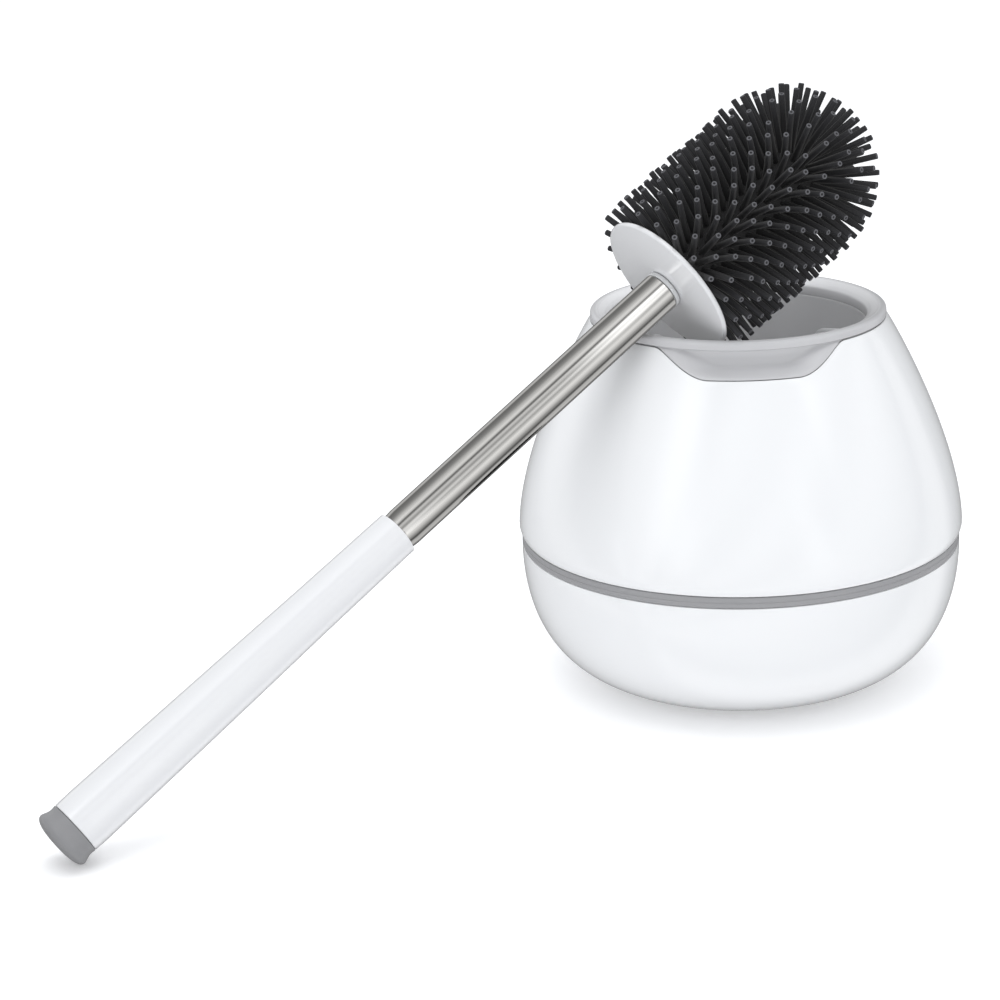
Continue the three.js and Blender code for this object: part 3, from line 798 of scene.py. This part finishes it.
def bristle_tree():
    """Puts a rod on every root point, turned to its direction, with a small seeded bend."""
    tree = bpy.data.node_groups.new("Bristles on roots", "GeometryNodeTree")
    take(tree, "Roots", "Geometry")
    take(tree, "Rod", "Object")
    take(tree, "Bend", "Float", 0.0006)
    take(tree, "Length spread", "Float", 0.02)
    take(tree, "Seed", "Int", BRISTLE_SEED)
    take(tree, "Finish", "Material")
    give(tree, "Bristles", "Geometry")
    n = Nodes(tree)
    given = n.add("NodeGroupInput").outputs
    rod = n.add("GeometryNodeObjectInfo", {"Object": given["Rod"]})
    way = n.add("GeometryNodeInputNamedAttribute", {"Name": "direction"}, data_type="FLOAT_VECTOR")
    turn = n.add("FunctionNodeAlignRotationToVector", {"Vector": way.outputs[0]}, axis="Z")
    chance = n.add("FunctionNodeRandomValue", {"Seed": given["Seed"]}, data_type="FLOAT")
    chance_value = next(s for s in chance.outputs if s.enabled)
    length = n.flip(n.math("MULTIPLY", chance_value, given["Length spread"]))
    scale = n.add("ShaderNodeCombineXYZ", {"X": 1.0, "Y": 1.0, "Z": length})
    placed = n.add("GeometryNodeInstanceOnPoints", {
        "Points": given["Roots"], "Instance": rod.outputs["Geometry"],
        "Rotation": turn.outputs[0], "Scale": scale.outputs[0]})
    sway = n.add("FunctionNodeRandomValue", {"Seed": given["Seed"]}, data_type="FLOAT_VECTOR")
    sway.inputs[0].default_value = (-1, -1, -1)
    sway.inputs[1].default_value = (1, 1, 1)
    sway_value = next(s for s in sway.outputs if s.enabled)
    kept = n.add("GeometryNodeStoreNamedAttribute", {
        "Geometry": placed.outputs[0], "Name": "sway", "Value": sway_value},
        data_type="FLOAT_VECTOR", domain="INSTANCE")
    real = n.add("GeometryNodeRealizeInstances", {"Geometry": kept.outputs[0]})
    along = n.add("GeometryNodeInputNamedAttribute", {"Name": "along"}, data_type="FLOAT")
    bend = n.math("MULTIPLY", n.math("POWER", along.outputs[0], 2.0), given["Bend"])
    swayed = n.add("GeometryNodeInputNamedAttribute", {"Name": "sway"}, data_type="FLOAT_VECTOR")
    offset = n.add("ShaderNodeVectorMath", {0: swayed.outputs[0], "Scale": bend}, operation="SCALE")
    moved = n.add("GeometryNodeSetPosition", {"Geometry": real.outputs[0], "Offset": offset.outputs[0]})
    dressed = n.add("GeometryNodeSetMaterial", {"Geometry": moved.outputs[0], "Material": given["Finish"]})
    out = n.add("NodeGroupOutput")
    tree.links.new(dressed.outputs[0], out.inputs[0])
    return tree


def grown(roots_object, tree, values):
    """Runs a geometry tree on an object and returns the result as a plain mesh object."""
    modifier = roots_object.modifiers.new("Growth", "NODES")
    modifier.node_group = tree
    for item in tree.interface.items_tree:
        if item.in_out == "INPUT" and item.name in values:
            modifier[item.identifier] = values[item.name]
    bpy.context.view_layer.update()
    depsgraph = bpy.context.evaluated_depsgraph_get()
    mesh = bpy.data.meshes.new_from_object(roots_object.evaluated_get(depsgraph))
    roots_object.modifiers.remove(modifier)
    made = bpy.data.objects.new("Bristles", mesh)
    bpy.context.scene.collection.objects.link(made)
    return made


def bristles():
    """All the bristles, as one mesh."""
    roots, directions = bristle_roots()
    mesh = bpy.data.meshes.new("Bristle_roots")
    mesh.from_pydata([BRUSH_PLACE @ (root * MM) for root in roots], [], [])
    attribute = mesh.attributes.new("direction", "FLOAT_VECTOR", "POINT")
    turned_ways = np.array([BRUSH_TURN @ way for way in directions], np.float32)
    attribute.data.foreach_set("vector", turned_ways.ravel())
    holder = bpy.data.objects.new("Bristle_roots", mesh)
    bpy.context.scene.collection.objects.link(holder)
    rod = bristle_rod()
    made = grown(holder, bristle_tree(), {"Rod": rod, "Finish": BRISTLE_SILICONE, "Seed": BRISTLE_SEED})
    made.data.shade_smooth()
    made.data.set_sharp_from_angle(angle=math.radians(60))
    bpy.data.objects.remove(holder)
    bpy.data.objects.remove(rod)
    return made


def quarter_circle(radius, centre, start, end):
    """Points between two angles in degrees, around a centre on the brush's axis."""
    turns = np.radians(np.linspace(start, end, 13))
    return [(radius * math.cos(a), centre + radius * math.sin(a)) for a in turns]


def bristle_base():
    """Silicone skin over the core, from which the bristles grow, with a flange on the disc."""
    start, end, radius = on_brush("bristle_sleeve")
    centre = end - radius
    crown = quarter_circle(BASE_R, centre, 0, 90)[:-1] + [(0, centre + BASE_R)]
    bore = [(0, centre + BASE_BORE_R)] + quarter_circle(BASE_BORE_R, centre, 90, 0)[1:]
    low = start + 0.1
    flange = [(BASE_BORE_R, low), (15.5, low), (14.6, start + 1.2), (BASE_R, start + 2.8)]
    outline = np.concatenate([bore, flange, crown])
    return along_brush("Bristle_base", outline, 64)


# ------------------------------------------------------------------ put together

POT_AND_LINER = [
    finish_piece(upper_shell(), WHITE_SHELL, "pot", "white_shell", "upper_shell"),
    finish_piece(lower_bowl(), WHITE_SHELL, "pot", "white_shell", "lower_bowl"),
    finish_piece(accent_ring(), RING_GREY, "pot", "grey_trim", "accent_ring"),
    finish_piece(collar_ring(), COLLAR_GREY_PAINTED_TOP, "liner", "grey_trim", "collar_ring"),
    finish_piece(drip_cup(), CUP_GREY, "liner", "cup_grey", "drip_cup"),
    finish_piece(cup_fins(), FIN_GREY_PAINTED_PALE, "liner", "cup_grey")]
finish_piece(end_cap(), CAP_GREY, "handle", "grey_trim", "end_cap")
finish_piece(grip(), WHITE_GRIP, "handle", "white_grip", "grip")
finish_piece(steel_tube(), TUBE_STEEL, "handle", "tube_steel", "steel_tube")
finish_piece(seal_washer(), CLEAR_SEAL, "washer", "clear_seal", "seal_washer")
HEAD = [
    finish_piece(splash_disc(), WHITE_GRIP, "head", "white_grip", "splash_disc"),
    finish_piece(bristle_base(), BRISTLE_SILICONE, "head", "bristle_silicone", "bristle_sleeve"),
    finish_piece(bristles(), BRISTLE_SILICONE, "head", "bristle_silicone")]
for piece in [*POT_AND_LINER, *HEAD]:
    piece.visible_glossy = False  # so that the tube mirrors the studio's cards along its whole length
for node, material in (
        ("anti_slip_pad", PAD_RUBBER), ("housing_screw_1", SCREW_STEEL), ("housing_screw_2", SCREW_STEEL),
        ("housing_screw_3", SCREW_STEEL), ("tube_stopper", PAD_RUBBER), ("threaded_insert", WHITE_GRIP),
        ("head_core", WHITE_GRIP)):
    dress(node, material)

# ------------------------------------------------------------------ camera, floor and light

CAMERA_PLACE = (-0.09107, -0.95635, 0.3814)
CAMERA_PITCH = 18.0  # degrees down
CAMERA_ROLL = -2.16  # degrees
CAMERA_LENS = 95.04
FLOOR_SIZE = 6.0
FLOOR_GLOW = 0.2
FILL_FRONT = 0.64  # soft light from the pot's front, from its back, and extra from overhead
FILL_BACK = 0.74
FILL_UP = 0.42
SOFTBOX_HEADING = 39.0  # degrees to the left and right of the pot's front
SOFTBOX_HALF = (4.0, 17.0)  # degrees from its middle over which a softbox fades
SOFTBOX_SHINE = 1.1
SOFTBOX_RISE = (-0.2, 0.1)  # sines of the heights over which the softboxes fade in and out
SOFTBOX_FALL = (0.80, 0.92)
TUBE_SIGHT = 0.285  # share along its axis of the directions that the tube mirrors
TUBE_CLEAR = (0.10, 0.18)  # the softboxes fade away this near to those directions
TOP_LIGHT = 9  # watts
CARDS_DOWN_TUBE = 0.06  # from the disc to the middle of the ring of cards, in metres


def camera():
    """Camera in front of the pot, a little above it."""
    data = bpy.data.cameras.new("Camera")
    data.sensor_width = 36.0
    data.lens = CAMERA_LENS
    obj = bpy.data.objects.new("Camera", data)
    bpy.context.scene.collection.objects.link(obj)
    pitch, roll = math.radians(CAMERA_PITCH), math.radians(CAMERA_ROLL)
    turn = Matrix.Rotation(math.pi / 2 - pitch, 4, "X") @ Matrix.Rotation(roll, 4, "Z")
    obj.matrix_world = Matrix.Translation(CAMERA_PLACE) @ turn
    bpy.context.scene.camera = obj


def floor():
    """Plain pale floor, wide enough that no edge shows."""
    mesh = bpy.data.meshes.new("Floor")
    corners = [(-1, -1), (1, -1), (1, 1), (-1, 1)]
    mesh.from_pydata([(x * FLOOR_SIZE, y * FLOOR_SIZE, 0) for x, y in corners], [], [(0, 1, 2, 3)])
    obj = bpy.data.objects.new("Floor", mesh)
    bpy.context.scene.collection.objects.link(obj)
    material, _, shader = new_material("Pale floor")
    shader.inputs["Base Color"].default_value = (0.9, 0.9, 0.905, 1)
    shader.inputs["Roughness"].default_value = 0.95
    shader.inputs["Specular IOR Level"].default_value = 0.0
    shader.inputs["Emission Color"].default_value = (1, 1, 1, 1)
    shader.inputs["Emission Strength"].default_value = FLOOR_GLOW
    mesh.materials.append(material)
    obj.visible_glossy = False  # the glossy pieces mirror the studio's cards instead


def top_softbox(place, aim, side, power):
    """Square soft light over the pot, which no glossy piece mirrors."""
    data = bpy.data.lights.new("Top softbox", "AREA")
    data.shape = "RECTANGLE"
    data.size, data.size_y = side, side
    data.energy = power
    obj = bpy.data.objects.new("Top softbox", data)
    bpy.context.scene.collection.objects.link(obj)
    way = Vector(aim) - Vector(place)
    obj.matrix_world = Matrix.Translation(place) @ way.to_track_quat("-Z", "Y").to_matrix().to_4x4()
    obj.visible_glossy = False


# Tones of the cards that the steel mirrors, by angle around the brush from the camera's side, in
# degrees: the upper side of the tube is negative.
CARDS = [
    (-180, 0.20), (-150, 0.24), (-139, 0.62), (-126, 0.68), (-114, 0.20), (-98, 0.22), (-78, 0.34),
    (-60, 0.68), (-46, 1.02), (-38, 0.84), (-31, 0.20), (-25, 0.22), (-18, 0.84), (-10, 0.68), (-3, 0.46),
    (2, 0.52), (10, 1.00), (16, 0.90), (23, 0.52), (29, 0.60), (40, 1.00), (52, 0.84), (68, 0.48),
    (78, 0.34), (85, 0.12), (93, 0.12), (102, 0.62), (125, 0.72), (140, 0.20), (150, 0.22), (180, 0.20)]


def share_along(n, way, axis):
    """Cosine of the angle between a direction and an axis."""
    return n.add("ShaderNodeVectorMath", {0: way, 1: axis}, operation="DOT_PRODUCT").outputs["Value"]


def card_ring(n, way):
    """Background of the cards, which stand in a ring around the middle of the tube."""
    middle = BRUSH_AT - BRUSH_AXIS * CARDS_DOWN_TUBE
    towards = Vector(CAMERA_PLACE) - middle
    front = (towards - BRUSH_AXIS * towards.dot(BRUSH_AXIS)).normalized()
    side = BRUSH_AXIS.cross(front)
    turn = n.math("ARCTAN2", share_along(n, way, side), share_along(n, way, front))
    cards = n.add("ShaderNodeValToRGB", {0: n.ramp(turn, -math.pi, math.pi)})
    ramp = cards.color_ramp
    while len(ramp.elements) > 1:
        ramp.elements.remove(ramp.elements[-1])
    for i, (angle, tone) in enumerate(CARDS):
        stop = ramp.elements[0] if i == 0 else ramp.elements.new((angle + 180) / 360)
        stop.position = (angle + 180) / 360
        stop.color = (tone, tone * 0.993, tone * 0.98, 1)
    return n.add("ShaderNodeBackground", {"Color": cards.outputs[0], "Strength": 1.0})


def side_softboxes(n, way, parts):
    """Background of two upright softboxes, left out where the tube would mirror them."""
    heading = n.math("ABSOLUTE", n.math("ARCTAN2", parts[0], n.math("MULTIPLY", parts[1], -1.0)))
    off = n.math("ABSOLUTE", n.math("SUBTRACT", heading, math.radians(SOFTBOX_HEADING)))
    off_tube = n.math("ABSOLUTE", n.math("SUBTRACT", share_along(n, way, BRUSH_AXIS), TUBE_SIGHT))
    strip = n.flip(n.ramp(off, *np.radians(SOFTBOX_HALF)), clamp=True)
    strip = n.math("MULTIPLY", strip, n.ramp(parts[2], *SOFTBOX_RISE))
    strip = n.math("MULTIPLY", strip, n.flip(n.ramp(parts[2], *SOFTBOX_FALL)))
    strip = n.math("MULTIPLY", strip, n.ramp(off_tube, *TUBE_CLEAR))
    power = n.math("MULTIPLY", strip, SOFTBOX_SHINE)
    return n.add("ShaderNodeBackground", {"Color": (1, 1, 1, 1), "Strength": power})


def soft_fill(n, parts):
    """Even background for matt surfaces, a little brighter from behind and from overhead."""
    forward = n.ramp(n.math("MULTIPLY", parts[1], -1.0), -1.0, 1.0)
    level = n.math("ADD", FILL_BACK, n.math("MULTIPLY", forward, FILL_FRONT - FILL_BACK))
    overhead = n.math("MULTIPLY", n.ramp(parts[2], 0.0, 1.0), FILL_UP)
    fill = n.math("ADD", level, overhead)
    return n.add("ShaderNodeBackground", {"Color": (0.965, 0.98, 1.0, 1), "Strength": fill})


def world():
    """White to the camera, soft and even on matt surfaces, and cards and softboxes for the glossy ones."""
    made = bpy.data.worlds.new("Studio")
    bpy.context.scene.world = made
    made.use_nodes = True
    made.node_tree.nodes.clear()
    n = Nodes(made.node_tree)
    way = n.add("ShaderNodeTexCoord").outputs["Generated"]
    parts = n.add("ShaderNodeSeparateXYZ", {0: way}).outputs
    rays = n.add("ShaderNodeLightPath").outputs
    boxes, cards = side_softboxes(n, way, parts), card_ring(n, way)
    shine = n.add("ShaderNodeAddShader", {0: boxes.outputs[0], 1: cards.outputs[0]}).outputs[0]
    even = soft_fill(n, parts).outputs[0]
    white = n.add("ShaderNodeBackground", {"Color": (1, 1, 1, 1), "Strength": 1.0}).outputs[0]
    lit = n.add("ShaderNodeMixShader", {0: rays["Is Glossy Ray"], 1: even, 2: shine}).outputs[0]
    seen = n.add("ShaderNodeMixShader", {0: rays["Is Camera Ray"], 1: lit, 2: white})
    n.add("ShaderNodeOutputWorld", {0: seen.outputs[0]})


bpy.context.scene.view_settings.view_transform = "Standard"
camera()
floor()
world()
top_softbox((-0.2, -0.2, 1.7), (0, 0, 0.1), 1.2, TOP_LIGHT)
